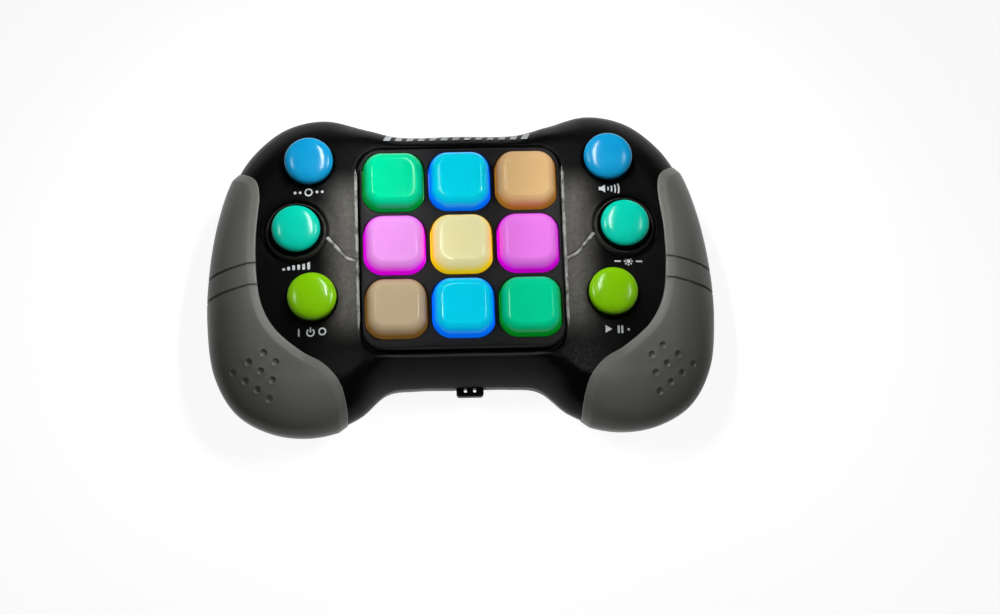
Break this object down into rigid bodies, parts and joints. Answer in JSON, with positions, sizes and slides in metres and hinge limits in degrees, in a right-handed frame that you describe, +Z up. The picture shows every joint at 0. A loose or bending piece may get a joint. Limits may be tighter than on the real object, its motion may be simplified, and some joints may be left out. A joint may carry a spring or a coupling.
{
  "type": "electronic bubble pop game",
  "caption": "Hand-held game console with a square grid of light-up press bubbles, round side buttons and rubber grips.",
  "frame": {"origin": "middle of the outer box, at the level of the flat back that the game lies on", "axes": "+X to the player's right, +Y away from the player, towards the shoulders, +Z up through the bubbles"},
  "size_m": [0.1502, 0.098, 0.0314],
  "materials": {
    "case_black": "satin moulded, fine grain",
    "panel_black": "satin moulded",
    "grip_grey": "satin soft-touch",
    "button_blue": "gloss",
    "button_teal": "gloss",
    "button_lime": "gloss",
    "led": "clear lens on a white body",
    "spring_steel": "nickel plated",
    "screw_steel": "zinc plated",
    "board": "solder mask",
    "mat": "matt silicone",
    "chip": "matt epoxy",
    "cell": "plain printed sleeve",
    "speaker": "black",
    "lead": "insulated wire",
    "bubble_green": "translucent silicone",
    "bubble_cyan": "translucent silicone",
    "bubble_tan": "translucent silicone",
    "bubble_violet": "translucent silicone",
    "bubble_yellow": "translucent silicone",
    "bubble_magenta": "translucent silicone",
    "bubble_beige": "translucent silicone",
    "bubble_aqua": "translucent silicone",
    "bubble_mint": "translucent silicone"
  },
  "bodies": {
    "case": {"top_case": "case_black", "bottom_case": "case_black", "lanyard_anchor": "case_black", "keypad_panel": "panel_black", "left_grip": "grip_grey", "right_grip": "grip_grey", "rear_left_led": "led", "rear_centre_led": "led", "rear_right_led": "led", "middle_left_led": "led", "middle_centre_led": "led", "middle_right_led": "led", "front_left_led": "led", "front_centre_led": "led", "front_right_led": "led", "upper_left_button_dome": "spring_steel", "middle_left_button_dome": "spring_steel", "lower_left_button_dome": "spring_steel", "upper_right_button_dome": "spring_steel", "middle_right_button_dome": "spring_steel", "lower_right_button_dome": "spring_steel", "front_right_case_screw": "screw_steel", "side_right_case_screw": "screw_steel", "rear_right_case_screw": "screw_steel", "front_left_case_screw": "screw_steel", "side_left_case_screw": "screw_steel", "rear_left_case_screw": "screw_steel", "main_board": "board", "bubble_mat": "mat", "control_chip": "chip", "left_cell": "cell", "centre_cell": "cell", "right_cell": "cell", "front_single_contact": "spring_steel", "front_bridge_contact": "spring_steel", "rear_bridge_contact": "spring_steel", "rear_single_contact": "spring_steel", "speaker": "speaker", "speaker_lead": "lead"},
    "rear_left_bubble": {"rear_left_bubble": "bubble_green"},
    "rear_centre_bubble": {"rear_centre_bubble": "bubble_cyan"},
    "rear_right_bubble": {"rear_right_bubble": "bubble_tan"},
    "middle_left_bubble": {"middle_left_bubble": "bubble_violet"},
    "middle_centre_bubble": {"middle_centre_bubble": "bubble_yellow"},
    "middle_right_bubble": {"middle_right_bubble": "bubble_magenta"},
    "front_left_bubble": {"front_left_bubble": "bubble_beige"},
    "front_centre_bubble": {"front_centre_bubble": "bubble_aqua"},
    "front_right_bubble": {"front_right_bubble": "bubble_mint"},
    "upper_left_button": {"upper_left_button": "button_blue"},
    "middle_left_button": {"middle_left_button": "button_teal"},
    "lower_left_button": {"lower_left_button": "button_lime"},
    "upper_right_button": {"upper_right_button": "button_blue"},
    "middle_right_button": {"middle_right_button": "button_teal"},
    "lower_right_button": {"lower_right_button": "button_lime"},
    "battery_door": {"battery_door": "case_black", "front_door_screw": "screw_steel", "rear_door_screw": "screw_steel"}
  },
  "joints": [
    {"name": "rear_left_bubble_press", "type": "slide", "parent": "case", "child": "rear_left_bubble", "axis": [0, 0, -1], "range_m": [0, 0.003], "stiffness_N_per_m": 250, "springref_m": -0.001},
    {"name": "rear_centre_bubble_press", "type": "slide", "parent": "case", "child": "rear_centre_bubble", "axis": [0, 0, -1], "range_m": [0, 0.003], "stiffness_N_per_m": 250, "springref_m": -0.001},
    {"name": "rear_right_bubble_press", "type": "slide", "parent": "case", "child": "rear_right_bubble", "axis": [0, 0, -1], "range_m": [0, 0.003], "stiffness_N_per_m": 250, "springref_m": -0.001},
    {"name": "middle_left_bubble_press", "type": "slide", "parent": "case", "child": "middle_left_bubble", "axis": [0, 0, -1], "range_m": [0, 0.003], "stiffness_N_per_m": 250, "springref_m": -0.001},
    {"name": "middle_centre_bubble_press", "type": "slide", "parent": "case", "child": "middle_centre_bubble", "axis": [0, 0, -1], "range_m": [0, 0.003], "stiffness_N_per_m": 250, "springref_m": -0.001},
    {"name": "middle_right_bubble_press", "type": "slide", "parent": "case", "child": "middle_right_bubble", "axis": [0, 0, -1], "range_m": [0, 0.003], "stiffness_N_per_m": 250, "springref_m": -0.001},
    {"name": "front_left_bubble_press", "type": "slide", "parent": "case", "child": "front_left_bubble", "axis": [0, 0, -1], "range_m": [0, 0.003], "stiffness_N_per_m": 250, "springref_m": -0.001},
    {"name": "front_centre_bubble_press", "type": "slide", "parent": "case", "child": "front_centre_bubble", "axis": [0, 0, -1], "range_m": [0, 0.003], "stiffness_N_per_m": 250, "springref_m": -0.001},
    {"name": "front_right_bubble_press", "type": "slide", "parent": "case", "child": "front_right_bubble", "axis": [0, 0, -1], "range_m": [0, 0.003], "stiffness_N_per_m": 250, "springref_m": -0.001},
    {"name": "upper_left_button_press", "type": "slide", "parent": "case", "child": "upper_left_button", "axis": [0, 0, -1], "range_m": [0, 0.0015], "stiffness_N_per_m": 400, "springref_m": -0.001},
    {"name": "middle_left_button_press", "type": "slide", "parent": "case", "child": "middle_left_button", "axis": [0, 0, -1], "range_m": [0, 0.0015], "stiffness_N_per_m": 400, "springref_m": -0.001},
    {"name": "lower_left_button_press", "type": "slide", "parent": "case", "child": "lower_left_button", "axis": [0, 0, -1], "range_m": [0, 0.0015], "stiffness_N_per_m": 400, "springref_m": -0.001},
    {"name": "upper_right_button_press", "type": "slide", "parent": "case", "child": "upper_right_button", "axis": [0, 0, -1], "range_m": [0, 0.0015], "stiffness_N_per_m": 400, "springref_m": -0.001},
    {"name": "middle_right_button_press", "type": "slide", "parent": "case", "child": "middle_right_button", "axis": [0, 0, -1], "range_m": [0, 0.0015], "stiffness_N_per_m": 400, "springref_m": -0.001},
    {"name": "lower_right_button_press", "type": "slide", "parent": "case", "child": "lower_right_button", "axis": [0, 0, -1], "range_m": [0, 0.0015], "stiffness_N_per_m": 400, "springref_m": -0.001},
    {"name": "battery_door_lift", "type": "slide", "parent": "case", "child": "battery_door", "axis": [0, 0, -1], "range_m": [0, 0.02]}
  ]
}
